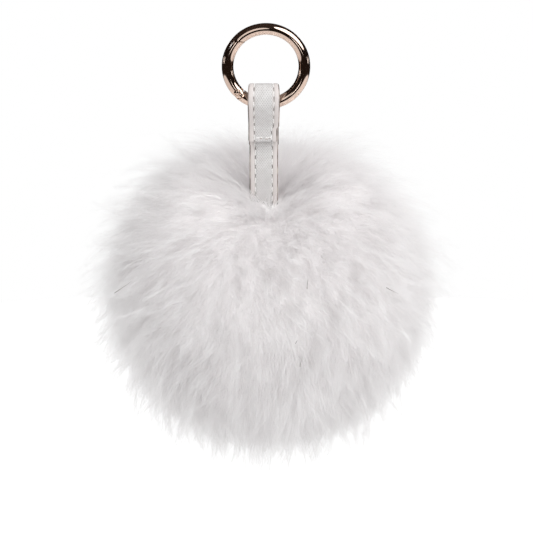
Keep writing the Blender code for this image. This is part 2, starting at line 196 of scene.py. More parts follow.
def map_range(tree, low, high, at_low, at_high):
    """A node that turns values from low to high into values from at_low to at_high."""
    ends = {"From Min": low, "From Max": high, "To Min": at_low, "To Max": at_high}
    return node(tree, "ShaderNodeMapRange", **ends)


def bump(tree, height, strength, distance, shader):
    made = node(tree, "ShaderNodeBump", Strength=strength, Distance=distance)
    tree.links.new(height, made.inputs["Height"])
    tree.links.new(made.outputs["Normal"], shader.inputs["Normal"])


def fur_material():
    """Off-white hair: a little warmer and darker at the root, with every hair its own shade."""
    made, tree, shader = new_material("white_fur")
    uv = node(tree, "ShaderNodeUVMap", uv_map="OFBake")
    split = tree.nodes.new("ShaderNodeSeparateXYZ")
    tree.links.new(uv.outputs["UV"], split.inputs[0])
    root, middle, tip = (0.965, 0.94, 0.945), (0.98, 0.964, 0.964), (0.99, 0.979, 0.978)
    along = ramp(tree, split.outputs["Y"], [(0.0, root), (0.6, middle), (1.0, tip)])
    shade = node(tree, "ShaderNodeTexNoise", Scale=60.0, Detail=1.0, noise_dimensions="1D")
    tree.links.new(split.outputs["X"], shade.inputs["W"])
    each = ramp(tree, shade.outputs["Fac"], [(0.3, 0.94), (0.7, 1.0)])
    mix = node(tree, "ShaderNodeMix", data_type="RGBA", blend_type="MULTIPLY")
    mix.inputs["Factor"].default_value = 1.0
    tree.links.new(along, mix.inputs["A"])
    tree.links.new(each, mix.inputs["B"])
    tree.links.new(mix.outputs["Result"], shader.inputs["Base Color"])
    gloss = ramp(tree, shade.outputs["Fac"], [(0.3, 0.62), (0.7, 0.48)])
    tree.links.new(gloss, shader.inputs["Roughness"])
    shader.inputs["Specular IOR Level"].default_value = 0.25
    shader.inputs["Subsurface Weight"].default_value = 1.0
    shader.inputs["Subsurface Radius"].default_value = (1.0, 0.92, 0.92)
    shader.inputs["Subsurface Scale"].default_value = 0.003
    return made


def dark_hair_material():
    """Brown-grey hair, paler towards its tip, with fine streaks along it."""
    made, tree, shader = new_material("dark_hair")
    uv = node(tree, "ShaderNodeUVMap", uv_map="OFBake")
    streaks = node(tree, "ShaderNodeTexNoise", Scale=14.0, Detail=4.0)
    tree.links.new(uv.outputs["UV"], streaks.inputs["Vector"])
    colour = ramp(tree, streaks.outputs["Fac"], [(0.3, (0.11, 0.09, 0.08)), (0.7, (0.23, 0.19, 0.17))])
    gloss = ramp(tree, streaks.outputs["Fac"], [(0.3, 0.42), (0.7, 0.62)])
    tree.links.new(colour, shader.inputs["Base Color"])
    tree.links.new(gloss, shader.inputs["Roughness"])
    bump(tree, streaks.outputs["Fac"], 0.3, 0.00003, shader)
    return made


def underfur_material():
    """The dense wool under the long hairs, seen only as soft shadow between tufts."""
    made, tree, shader = new_material("underfur")
    place = tree.nodes.new("ShaderNodeTexCoord")
    fine = node(tree, "ShaderNodeTexNoise", Scale=900.0, Detail=4.0, Roughness=0.7)
    broad = node(tree, "ShaderNodeTexNoise", Scale=120.0, Detail=3.0)
    tree.links.new(place.outputs["Object"], fine.inputs["Vector"])
    tree.links.new(place.outputs["Object"], broad.inputs["Vector"])
    colour = ramp(tree, broad.outputs["Fac"], [(0.3, (0.86, 0.835, 0.84)), (0.7, (0.93, 0.91, 0.912))])
    tree.links.new(colour, shader.inputs["Base Color"])
    shader.inputs["Roughness"].default_value = 0.9
    shader.inputs["Sheen Weight"].default_value = 0.3
    bump(tree, fine.outputs["Fac"], 0.8, 0.0008, shader)
    return made


# ---------------------------------------------------------------- metal and leather materials


def gold_material():
    """Polished light rose gold plating with faint rubbing marks."""
    made, tree, shader = new_material("light_gold")
    place = tree.nodes.new("ShaderNodeTexCoord")
    broad = node(tree, "ShaderNodeTexNoise", Scale=260.0, Detail=3.0)
    rubs = node(tree, "ShaderNodeTexNoise", Scale=900.0, Detail=5.0, Roughness=0.7)
    stretch = node(tree, "ShaderNodeMapping")
    stretch.inputs["Scale"].default_value = (1.0, 0.25, 1.0)
    tree.links.new(place.outputs["Object"], broad.inputs["Vector"])
    tree.links.new(place.outputs["Object"], stretch.inputs["Vector"])
    tree.links.new(stretch.outputs["Vector"], rubs.inputs["Vector"])
    colour = ramp(tree, broad.outputs["Fac"], [(0.3, (0.90, 0.70, 0.58)), (0.7, (0.94, 0.76, 0.64))])
    tree.links.new(colour, shader.inputs["Base Color"])
    rough = map_range(tree, 0.3, 0.8, 0.035, 0.08)
    tree.links.new(rubs.outputs["Fac"], rough.inputs["Value"])
    tree.links.new(rough.outputs["Result"], shader.inputs["Roughness"])
    shader.inputs["Metallic"].default_value = 1.0
    bump(tree, rubs.outputs["Fac"], 0.004, 0.000002, shader)
    return made


def steel_material():
    made, tree, shader = new_material("spring_steel")
    place = tree.nodes.new("ShaderNodeTexCoord")
    grain = node(tree, "ShaderNodeTexNoise", Scale=2500.0, Detail=2.0)
    tree.links.new(place.outputs["Object"], grain.inputs["Vector"])
    colour = ramp(tree, grain.outputs["Fac"], [(0.3, (0.52, 0.52, 0.53)), (0.7, (0.66, 0.66, 0.67))])
    tree.links.new(colour, shader.inputs["Base Color"])
    shader.inputs["Metallic"].default_value = 1.0
    shader.inputs["Roughness"].default_value = 0.3
    bump(tree, grain.outputs["Fac"], 0.1, 0.00002, shader)
    return made


def leather_material():
    """White leather with a pressed crosshatch grain between its seams and smooth strips along its edges."""
    made, tree, shader = new_material("white_leather")
    uv = node(tree, "ShaderNodeUVMap", uv_map="strap")
    split = tree.nodes.new("ShaderNodeSeparateXYZ")
    tree.links.new(uv.outputs["UV"], split.inputs[0])
    hatch = []
    for turn in (radians(38), radians(-38)):
        mapping = node(tree, "ShaderNodeMapping")
        mapping.inputs["Rotation"].default_value = (0.0, 0.0, turn)
        tree.links.new(uv.outputs["UV"], mapping.inputs["Vector"])
        wave = node(tree, "ShaderNodeTexWave", Scale=0.50, Distortion=0.7, Detail=2.0)
        wave.inputs["Detail Scale"].default_value = 1.6
        tree.links.new(mapping.outputs["Vector"], wave.inputs["Vector"])
        hatch.append(wave.outputs["Fac"])
    both = node(tree, "ShaderNodeMath", operation="MAXIMUM")
    tree.links.new(hatch[0], both.inputs[0])
    tree.links.new(hatch[1], both.inputs[1])
    across = node(tree, "ShaderNodeMath", operation="ABSOLUTE")
    tree.links.new(split.outputs["X"], across.inputs[0])
    middle = map_range(tree, 2.6, 3.0, 1.0, 0.12)
    tree.links.new(across.outputs[0], middle.inputs["Value"])
    grain = node(tree, "ShaderNodeMath", operation="MULTIPLY")
    tree.links.new(both.outputs[0], grain.inputs[0])
    tree.links.new(middle.outputs["Result"], grain.inputs[1])
    pores = node(tree, "ShaderNodeTexNoise", Scale=6.0, Detail=6.0, Roughness=0.65)
    tree.links.new(uv.outputs["UV"], pores.inputs["Vector"])
    height = node(tree, "ShaderNodeMath", operation="MULTIPLY_ADD")
    tree.links.new(pores.outputs["Fac"], height.inputs[0])
    height.inputs[1].default_value = 0.35
    tree.links.new(grain.outputs[0], height.inputs[2])
    worn = node(tree, "ShaderNodeTexNoise", Scale=0.5, Detail=4.0)
    tree.links.new(uv.outputs["UV"], worn.inputs["Vector"])
    cloudy = ramp(tree, worn.outputs["Fac"], [(0.3, (0.53, 0.515, 0.51)), (0.7, (0.61, 0.60, 0.595))])
    pale = ramp(tree, grain.outputs[0], [(0.10, (0.66, 0.655, 0.66)), (0.75, (1.0, 1.0, 1.0))])
    mix = node(tree, "ShaderNodeMix", data_type="RGBA", blend_type="MULTIPLY")
    mix.inputs["Factor"].default_value = 1.0
    tree.links.new(cloudy, mix.inputs["A"])
    tree.links.new(pale, mix.inputs["B"])
    margin = node(tree, "ShaderNodeMix", data_type="RGBA")
    tree.links.new(middle.outputs["Result"], margin.inputs["Factor"])
    margin.inputs["A"].default_value = (0.60, 0.555, 0.54, 1.0)
    tree.links.new(mix.outputs["Result"], margin.inputs["B"])
    tree.links.new(margin.outputs["Result"], shader.inputs["Base Color"])
    rough = map_range(tree, 0.2, 0.8, 0.5, 0.36)
    tree.links.new(pores.outputs["Fac"], rough.inputs["Value"])
    tree.links.new(rough.outputs["Result"], shader.inputs["Roughness"])
    bump(tree, height.outputs[0], 0.55, 0.00012, shader)
    return made


def edge_paint_material():
    """The painted cut edge of the leather, brownish and slightly uneven."""
    made, tree, shader = new_material("edge_paint")
    place = tree.nodes.new("ShaderNodeTexCoord")
    patches = node(tree, "ShaderNodeTexNoise", Scale=260.0, Detail=4.0)
    tree.links.new(place.outputs["Object"], patches.inputs["Vector"])
    colour = ramp(tree, patches.outputs["Fac"], [(0.38, (0.10, 0.08, 0.07)), (0.60, (0.42, 0.36, 0.33))])
    tree.links.new(colour, shader.inputs["Base Color"])
    shader.inputs["Roughness"].default_value = 0.5
    bump(tree, patches.outputs["Fac"], 0.3, 0.0001, shader)
    return made


def seam_material():
    """The bottom of the seam groove, coloured dark: painted shade for the groove and its needle holes, patchy
    at random.
    """
    made, tree, shader = new_material("seam_groove_shade")
    uv = node(tree, "ShaderNodeUVMap", uv_map="strap")
    shade_patches = node(tree, "ShaderNodeTexNoise", Scale=1.2, Detail=3.0)
    tree.links.new(uv.outputs["UV"], shade_patches.inputs["Vector"])
    # Painted shade: the groove's bottom is coloured dark grey-brown, as if in shadow.
    colour = ramp(tree, shade_patches.outputs["Fac"], [(0.4, (0.16, 0.15, 0.14)), (0.65, (0.48, 0.46, 0.44))])
    tree.links.new(colour, shader.inputs["Base Color"])
    shader.inputs["Roughness"].default_value = 0.8
    bump(tree, shade_patches.outputs["Fac"], 0.4, 0.0001, shader)
    return made


def thread_material():
    """Twisted white sewing thread."""
    made, tree, shader = new_material("white_thread")
    place = tree.nodes.new("ShaderNodeTexCoord")
    twist = node(tree, "ShaderNodeTexWave", Scale=900.0, Distortion=1.0, bands_direction="DIAGONAL")
    tree.links.new(place.outputs["Object"], twist.inputs["Vector"])
    colour = ramp(tree, twist.outputs["Fac"], [(0.2, (0.66, 0.64, 0.63)), (0.8, (0.86, 0.85, 0.84))])
    tree.links.new(colour, shader.inputs["Base Color"])
    shader.inputs["Roughness"].default_value = 0.6
    shader.inputs["Sheen Weight"].default_value = 0.2
    bump(tree, twist.outputs["Fac"], 0.6, 0.00005, shader)
    return made


# ---------------------------------------------------------------- shared mesh tools


def add_mesh(name, points, faces, *materials):
    mesh = bpy.data.meshes.new(name)
    mesh.from_pydata([tuple(point) for point in points], [], faces)
    shape = bmesh.new()
    shape.from_mesh(mesh)
    bmesh.ops.recalc_face_normals(shape, faces=shape.faces)
    shape.to_mesh(mesh)
    shape.free()
    for material in materials:
        mesh.materials.append(material)
    obj = bpy.data.objects.new(name, mesh)
    bpy.context.scene.collection.objects.link(obj)
    return obj


def smooth(obj, angle=35):
    obj.data.shade_smooth()
    obj.data.set_sharp_from_angle(angle=radians(angle))


def rings_to_faces(rings, sides):
    faces = []
    for i in range(rings - 1):
        for k in range(sides):
            after = (k + 1) % sides
            faces.append((i * sides + k, i * sides + after, (i + 1) * sides + after, (i + 1) * sides + k))
    return faces


def capped(rings):
    """Points and faces of a solid through a row of outlines."""
    sides = len(rings[0])
    points = [point for ring in rings for point in ring]
    faces = rings_to_faces(len(rings), sides)
    last = (len(rings) - 1) * sides
    faces += [tuple(reversed(range(sides))), tuple(last + k for k in range(sides))]
    return points, faces


def combine(obj, other, operation):
    """Applies a Boolean with another object and removes the other."""
    boolean = obj.modifiers.new("shape", "BOOLEAN")
    boolean.operation = operation
    boolean.object = other
    depsgraph = bpy.context.evaluated_depsgraph_get()
    made = bpy.data.meshes.new_from_object(obj.evaluated_get(depsgraph))
    obj.modifiers.clear()
    obj.data = made
    bpy.data.objects.remove(other)


# ---------------------------------------------------------------- ring


def ring_point(angle, out=0.0, across=0.0):
    reach = RING_RADIUS + out
    return RING_CENTRE + Vector((reach * cos(angle), across, reach * sin(angle)))


def pin_angle():
    at = PIN - RING_CENTRE
    return Vector((at.x, at.z)).angle_signed(Vector((1.0, 0.0))) % tau


def past_pin(distance):
    """The angle past the pin where a point, by its distance out, is this far from the pin's axis."""

    def angle(out):
        reach = RING_RADIUS + out
        cosine = (reach**2 + RING_RADIUS**2 - distance**2) / (2 * RING_RADIUS * reach)
        return pin_angle() + acos(max(-1.0, min(1.0, cosine)))

    return angle


def tip_slope(shift):
    """The sloping joint at the gate's tip, further round on the outside of the ring than inside."""

    def angle(out):
        share = (out / WIRE + 1) / 2
        return TIP_INNER + (TIP_OUTER - TIP_INNER) * share + shift / RING_RADIUS

    return angle


def wire_arc(name, start, end, steps, sides, material):
    """A stretch of round wire. Its ends are softened by a narrower last outline."""
    section = [(WIRE * cos(tau * k / sides), WIRE * sin(tau * k / sides)) for k in range(sides)]
    ease = 0.00012
    step_back = 0.6 * ease / RING_RADIUS
    stations = [(0.0, ease, 0.0), (0.0, 0.0, step_back)]
    stations += [(i / steps, 0.0, 0.0) for i in range(1, steps)]
    stations += [(1.0, 0.0, -step_back), (1.0, ease, 0.0)]
    rings = []
    for share, inward, nudge in stations:
        narrow = 1 - inward / WIRE
        ring = []
        for out, across in section:
            angle = start(out) * (1 - share) + end(out) * share + nudge
            ring.append(ring_point(angle, out * narrow, across * narrow))
        rings.append(ring)
    points = [point for ring in rings for point in ring]
    faces = rings_to_faces(len(rings), sides)
    last = (len(rings) - 1) * sides
    for k in range(sides // 2):
        cap = tuple(dict.fromkeys((k, (sides - k) % sides, sides - k - 1, k + 1)))
        faces += [cap, tuple(last + index for index in reversed(cap))]
    return add_mesh(name, points, faces, material)


def pin_circle(radius, y, sides):
    """A circle round the hinge's axis."""
    turns = [tau * k / sides for k in range(sides)]
    return [Vector((PIN.x + radius * cos(turn), y, PIN.z + radius * sin(turn))) for turn in turns]


def bar_at_pin(name, low, high, radius, sides=64):
    """A round bar on the hinge's axis."""
    return add_mesh(name, *capped([pin_circle(radius, y, sides) for y in (low, high)]))


def arc_block(name, start, end, steps, inner, outer, half):
    rings = []
    for i in range(steps + 1):
        angle = start + (end - start) * i / steps
        corners = ((inner, -half), (inner, half), (outer, half), (outer, -half))
        rings.append([ring_point(angle, out, across) for out, across in corners])
    return add_mesh(name, *capped(rings))


def nose_slope(out):
    """Where the ring's body ends, a full turn on from the slope of the gate's tip."""
    return tip_slope(-JOINT_GAP)(out) + tau


def make_ring_body(gold):
    body = wire_arc("ring_body_polished", past_pin(KNUCKLE + KNUCKLE_GAP), nose_slope, 360, 64, gold)
    depth = WIRE - 0.00002
    edge = acos((WIRE - LIP_DEPTH) / depth)
    outline = [(depth * cos(edge * k / 10), depth * sin(edge * k / 10)) for k in range(10, -11, -1)]
    rings = []
    for i in range(16):
        angle = TIP_OUTER - radians(8) + (LIP_END - TIP_OUTER + radians(8)) * i / 15
        rings.append([ring_point(angle, out, across) for out, across in outline])
    combine(body, add_mesh("lip", *capped(rings)), "UNION")
    tongue_end = past_pin(KNUCKLE)(0.0) + radians(5)
    tongue = arc_block("tongue", pin_angle(), tongue_end, 8, -TONGUE_WIDTH, TONGUE_WIDTH, TONGUE_HALF)
    combine(body, tongue, "UNION")
    combine(body, bar_at_pin("eye", -TONGUE_HALF + 0.00001, TONGUE_HALF - 0.00001, EYE_RADIUS), "UNION")
    smooth(body, 30)
    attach(body, "ring")
    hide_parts("ring_body")


def make_ring_gate(gold):
    gate = wire_arc("ring_gate_polished", tip_slope(JOINT_GAP), past_pin(KNUCKLE), 150, 64, gold)
    recess_end = LIP_END + JOINT_GAP / RING_RADIUS
    recess = arc_block("recess", TIP_INNER, recess_end, 16, WIRE - LIP_DEPTH - LIP_GAP, 2 * WIRE, 2 * WIRE)
    combine(gate, recess, "DIFFERENCE")
    half = TONGUE_HALF + TONGUE_GAP
    slot = arc_block("slot", pin_angle(), pin_angle() + radians(20), 8, -2 * WIRE, 2 * WIRE, half)
    combine(gate, slot, "DIFFERENCE")
    combine(gate, bar_at_pin("pocket", -half, half, EYE_POCKET), "DIFFERENCE")
    for side in (-1, 1):
        low, high = sorted((side * (WIRE - 0.00045), side * 0.003))
        combine(gate, bar_at_pin("seat", low, high, PIN_HEAD + 0.00020), "DIFFERENCE")
    smooth(gate, 30)
    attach(gate, "gate")
    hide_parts("ring_gate")


def make_pin(gold):
    """The rivet, with a low domed head at each end."""
    top = WIRE + 0.00005
    dome = [(0.05, top + 0.00008), (0.45, top + 0.00005), (0.8, top - 0.00002)]
    rim = [(0.97, top - 0.00016), (1.0, top - 0.0003), (1.0, WIRE - 0.0004), (0.7, WIRE - 0.00042)]
    profile = dome + rim
    profile += [(scale, -y) for scale, y in reversed(profile)]
    rings = [pin_circle(PIN_HEAD * scale, y, 48) for scale, y in profile]
    pin = add_mesh("gate_pin_polished", *capped(rings), gold)
    smooth(pin, 40)
    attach(pin, "ring")
    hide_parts("gate_pin")


def make_ring():
    gold = gold_material()
    make_ring_body(gold)
    make_ring_gate(gold)
    make_pin(gold)
    finish = frame["nodes"]["gate_spring"].data.materials
    finish.clear()
    finish.append(steel_material())


# ---------------------------------------------------------------- strap


def strap_line():
    """The middle of the strip as (y, z), from its free end at the front, round the ring, down to the ball."""
    corners = [(-LAP_Y, FLAP_END_Z), (-LAP_Y, MEET_Z - 0.0015), (-LAP_Y, MEET_Z), (-LOOP_RADIUS, LOOP_SIDE_Z)]
    corners += [(-LOOP_RADIUS * cos(pi * k / 8), LOOP_Z + LOOP_RADIUS * sin(pi * k / 8)) for k in range(9)]
    corners += [(LOOP_RADIUS, LOOP_SIDE_Z), (LAP_Y, MEET_Z), (LAP_Y, SETTLE_TOP_Z)]
    for k in range(1, 5):
        share = k / 4
        ease = share * share * (3 - 2 * share)
        corners.append((LAP_Y * (1 - ease), SETTLE_TOP_Z + (SETTLE_END_Z - SETTLE_TOP_Z) * share))
    corners += [(0.0, (SETTLE_END_Z + FLEX.z) / 2), (0.0, FLEX.z), (0.0, STRAP_END_Z)]
    for _ in range(3):
        cut = [corners[0]]
        for a, b in zip(corners, corners[1:]):
            cut.append(tuple(0.75 * p + 0.25 * q for p, q in zip(a, b)))
            cut.append(tuple(0.25 * p + 0.75 * q for p, q in zip(a, b)))
        corners = cut + [corners[-1]]
    return np.array(corners)


def even_stations(line, pitch):
    """Points along the line at even steps, with the distance along it and the outward direction."""
    step = np.linalg.norm(np.diff(line, axis=0), axis=1)
    distance = np.concatenate([[0.0], np.cumsum(step)])
    places = np.linspace(0.0, distance[-1], int(distance[-1] / pitch) + 1)
    y = np.interp(places, distance, line[:, 0])
    z = np.interp(places, distance, line[:, 1])
    dy, dz = np.gradient(y), np.gradient(z)
    length = np.hypot(dy, dz)
    return places, y, z, -dz / length, dy / length


def half_widths(y, z):
    """The strip's half width to the left and right: wide over the flap, with a notch low on its right."""
    front = np.clip((LOOP_RADIUS - y) / (2 * LOOP_RADIUS), 0, 1)
    share = np.where((z > SETTLE_TOP_Z) | (y < 0), front, 0.0)
    half = STRAP_HALF + (FLAP_HALF - STRAP_HALF) * share
    notch = NOTCH / (1 + np.exp((z - NOTCH_Z) / 0.00012)) * (y < -LAP_Y * 0.8)
    return half, half - notch


def section_half(half):
    """(x, height, zone) over one face of the strip, from its middle to its edge.

    Height is above the middle line. The zones are leather (0), the seam's groove (1), which is coloured dark
    as painted shade, and the painted edge (2).
    """
    top = THICKNESS / 2
    seam = half - SEAM_INSET
    middle = [(seam * 0.25, top + 0.00003, 0), (seam * 0.5, top + 0.00003, 0)]
    middle += [(seam * 0.75, top + 0.00002, 0), (seam - 0.00042, top, 0), (seam - 0.00020, top - 0.00006, 0)]
    groove = [(seam - 0.00010, top - 0.00022, 1), (seam + 0.00010, top - 0.00022, 1)]
    groove += [(seam + 0.00020, top - 0.00006, 1)]
    margin = [(seam + 0.00042, top + 0.00003, 0), (seam + 0.00085, top + 0.00006, 0)]
    margin += [(half - 0.00060, top + 0.00002, 0)]
    edge = [(half - 0.00036, top - 0.00008, 2), (half - 0.00020, top - 0.00018, 2)]
    edge += [(half - 0.00006, top - 0.00036, 2), (half, top - 0.00060, 2)]
    return middle + groove + margin + edge


def section(left, right):
    """The whole outline of the strip, going round: outward face left to right, then the other face back."""
    def face(side, sign, half, flip):
        row = [(side * x, sign * height, zone) for x, height, zone in section_half(half)]
        return list(reversed(row)) if flip else row

    outline = face(-1, 1, left, True) + [(0.0, THICKNESS / 2 + 0.00003, 0)] + face(1, 1, right, False)
    outline += face(1, -1, right, True) + [(0.0, -THICKNESS / 2 - 0.00003, 0)] + face(-1, -1, left, False)
    return outline


def make_strap():
    places, y, z, out_y, out_z = even_stations(strap_line(), 0.00035)
    left, right = half_widths(y, z)
    rings, flat = [], []
    count = len(places)
    for i in range(count):
        thin = 1 - 0.10 * (i == 0)
        narrow = 1 - 0.02 * (i == 0)
        outline = section(left[i], right[i])
        rings.append([(STRAP_X + x * narrow, y[i] + out_y[i] * h * thin, z[i] + out_z[i] * h * thin)
                      for x, h, _ in outline])
        flat.append([(x * 1000, places[i] * 1000) for x, _, _ in outline])
    points, faces = capped(rings)
    sides = len(rings[0])
    zones = [zone for _, _, zone in section(FLAP_HALF, FLAP_HALF)]
    finishes = (leather_material(), seam_material(), edge_paint_material())
    strap = add_mesh("strap_leather", points, faces, *finishes)
    layer = strap.data.uv_layers.new(name="strap")
    spots = np.array(flat).reshape(-1, 2)
    loop_points = np.empty(len(strap.data.loops), dtype=np.int32)
    strap.data.loops.foreach_get("vertex_index", loop_points)
    layer.data.foreach_set("uv", spots[loop_points].ravel().astype(np.float32))
    for polygon in strap.data.polygons:
        if len(polygon.vertices) > 4:
            polygon.material_index = 2
            continue
        polygon.material_index = min(zones[index % sides] for index in polygon.vertices)
    smooth(strap, 50)
    cross_flex(strap)
    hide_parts("strap_outer_ply", "strap_inner_ply", "strap_tail")
    make_stitches()
    make_tacks()


def cross_flex(piece):
    """Bakes a piece's placement into its mesh; the piece is left unattached to any body."""
    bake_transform(piece)


def stitch_points(centre, along, out, side, length, radius, sides=8):
    """One stitch: a short thread that rises from the leather and dives back in."""
    rings = []
    for step in range(9):
        share = step / 4 - 1
        rise = radius * 1.1 * (1 - share**4) - radius * 0.7
        middle = centre + along * (share * length / 2) + out * rise
        thick = radius * (1 - 0.35 * share**6)
        turns = [tau * k / sides for k in range(sides)]
        rings.append([middle + thick * (cos(turn) * out + sin(turn) * side) for turn in turns])
    return capped(rings)


def joined(name, shapes, material):
    points, faces = [], []
    for some_points, some_faces in shapes:
        start = len(points)
        points += some_points
        faces += [tuple(start + index for index in face) for face in some_faces]
    obj = add_mesh(name, points, faces, material)
    smooth(obj, 60)
    return obj


def make_stitches():
    thread = thread_material()
    places, y, z, out_y, out_z = even_stations(strap_line(), 0.0001)
    left, right = half_widths(y, z)
    for side_name, sign, half in (("left", -1, left), ("right", 1, right)):
        shapes = []
        for face in (1, -1):
            place = 0.0014 if face > 0 else 0.0029
            while place < places[-1] - 0.012:
                i = int(np.searchsorted(places, place))
                out = Vector((0.0, out_y[i], out_z[i])) * face
                along = Vector((0.0, y[i + 1] - y[i - 1], z[i + 1] - z[i - 1])).normalized()
                lift = THICKNESS / 2 - 0.00012
                centre = Vector((STRAP_X + sign * (half[i] - SEAM_INSET), y[i], z[i])) + out * lift
                slant = (along + Vector((0.07 * sign * sin(place * 9000), 0.0, 0.0))).normalized()
                across = slant.cross(out)
                shapes.append(stitch_points(centre, slant, out, across, STITCH_LENGTH, STITCH_RADIUS))
                place += STITCH_PITCH
        seam = joined(f"stitches_{side_name}", shapes, thread)
        cross_flex(seam)
        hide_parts(f"seam_thread_{side_name}")


def make_tacks():
    """Two knotted thread bars that hold the flap's end down, with dark ovals beside them: painted shade for
    the needle holes.
    """
    thread = thread_material()
    dark = edge_paint_material()
    front = Vector((0.0, -1.0, 0.0))
    for side_name, x in (("left", -0.0026), ("right", 0.0003)):
        shapes = []
        for face in (1, -1):
            out = front * face
            for dx, dz, length in ((0.0, 0.0, 0.0013), (0.0011, 0.00016, 0.0008)):
                centre = Vector((x + dx, 0.0, TACK_Z + dz)) + out * (LAP_Y + THICKNESS / 2 + 0.00004)
                along = Vector((1.0, 0.0, 0.12)).normalized()
                shapes.append(stitch_points(centre, along, out, along.cross(out), length, 0.00021))
        bar = joined(f"tack_{side_name}_thread", shapes, thread)
        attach(bar, "strap")
        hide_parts(f"tack_{side_name}")
    # Painted shade: small dark ovals on both faces, in the dark edge colour, stand in for the shadow in the
    # needle holes.
    shapes = []
    for x, radius in ((-0.00165, 0.00036), (0.0002, 0.00052), (0.0012, 0.00025)):
        for out in (front, -front):
            rings = []
            for scale, rise in ((1.0, -0.0001), (1.0, 0.00003), (0.8, 0.00006)):
                centre = Vector((x, 0.0, TACK_Z - 0.0002)) + out * (LAP_Y + THICKNESS / 2 + rise)
                turns = [tau * k / 14 for k in range(14)]
                oval = [Vector((cos(turn), 0.0, 0.75 * sin(turn))) for turn in turns]
                rings.append([centre + radius * scale * point for point in oval])
            shapes.append(capped(rings))
    holes = joined("tack_needle_hole_shade", shapes, dark)
    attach(holes, "strap")


# ---------------------------------------------------------------- fur


def fibonacci_directions(count, rng, jitter):
    """Unit vectors spread evenly over a sphere, each moved a little."""
    index = np.arange(count) + 0.5
    height = 1 - 2 * index / count
    turn = pi * (1 + 5**0.5) * index
    reach = np.sqrt(1 - height**2)
    spread = np.stack([np.cos(turn) * reach, np.sin(turn) * reach, height], axis=1)
    spread += rng.normal(0, jitter / sqrt(count), spread.shape)
    return spread / np.linalg.norm(spread, axis=1, keepdims=True)


def shell_radius(directions):
    """Distance from the ball's centre to the outside of the dense fur, for each direction.

    The ball is lower at the front of its top, where the strap comes out, and its fur rises beside and
    behind the strap.
    """
    x, y, z = directions.T
    across = np.sqrt(x**2 + y**2)
    front = np.clip(-y / np.maximum(across, 1e-6), -1, 1)
    lowered = np.clip(front, 0, 1) ** 2 * (3 - 2 * np.clip(front, 0, 1)) * (z > 0)
    tall = BALL_TALL - (BALL_TALL - POLE_HEIGHT) * lowered
    ball = 1 / np.sqrt(across**2 / BALL_ACROSS**2 + z**2 / tall**2)
    slope = SIDE_SLOPE + (BACK_SLOPE - SIDE_SLOPE) * ((1 - front) / 2) ** BACK_POWER
    cone = POLE_HEIGHT / np.maximum(z - slope * across, 0.02)
    return (ball**-DIMPLE_BLEND + cone**-DIMPLE_BLEND) ** (-1 / DIMPLE_BLEND)


def flow(directions, turn):
    """The direction along the sphere that hair is combed in: away from the top, turned by an angle."""
    x, y, z = directions.T
    across = np.maximum(np.sqrt(x**2 + y**2), 1e-5)
    down = np.stack([z * x / across, z * y / across, -across], axis=1)
    side = np.stack([-y / across, x / across, np.zeros_like(x)], axis=1)
    return down * np.cos(turn)[:, None] + side * np.sin(turn)[:, None]


def swirl(directions):
    """A slow change of combing direction over the ball."""
    x, y, z = directions.T
    broad = 0.25 * np.sin(5.1 * x + 2.3 * z + 1.0) + 0.2 * np.sin(4.3 * z - 6.2 * y + 0.5)
    return broad + 0.12 * np.sin(11 * x - 7 * z)


def hair_paths(roots, turn, lean, length, depth, steps, lift):
    """Points along each hair, from its root under the surface to its tip. Shape: hairs, steps, 3."""
    comb = flow(roots, turn)
    lean = lean + TOP_LEAN * np.exp(-((np.arccos(np.clip(roots[:, 2], -1, 1)) / TOP_REACH) ** 2))
    tip_direction = roots * np.cos(lean)[:, None] + comb * np.sin(lean)[:, None]
    first = shell_radius(roots) * depth
    last = shell_radius(tip_direction) * length
    share = np.linspace(0, 1, steps)
    bend = share**1.25
    angle = lean[:, None] * bend[None, :]
    heading = roots[:, None, :] * np.cos(angle)[..., None] + comb[:, None, :] * np.sin(angle)[..., None]
    rise = 1 - (1 - share) ** lift
    reach = first[:, None] + (last - first)[:, None] * rise[None, :]
    return heading * reach[..., None]


def grouped(paths, roots, leads, lead_paths, strength):
    """Hairs drawn together towards the tip of the tuft they belong to."""
    tree = KDTree(len(leads))
    for i, lead in enumerate(leads):
        tree.insert(Vector(lead), i)
    tree.balance()
    nearest = np.array([tree.find(Vector(root))[1] for root in roots])
    steps = paths.shape[1]
    share = np.linspace(0, 1, steps)[None, :, None] ** 1.4
    pull = strength[:, None, None] * share
    return paths * (1 - pull) + lead_paths[nearest] * pull


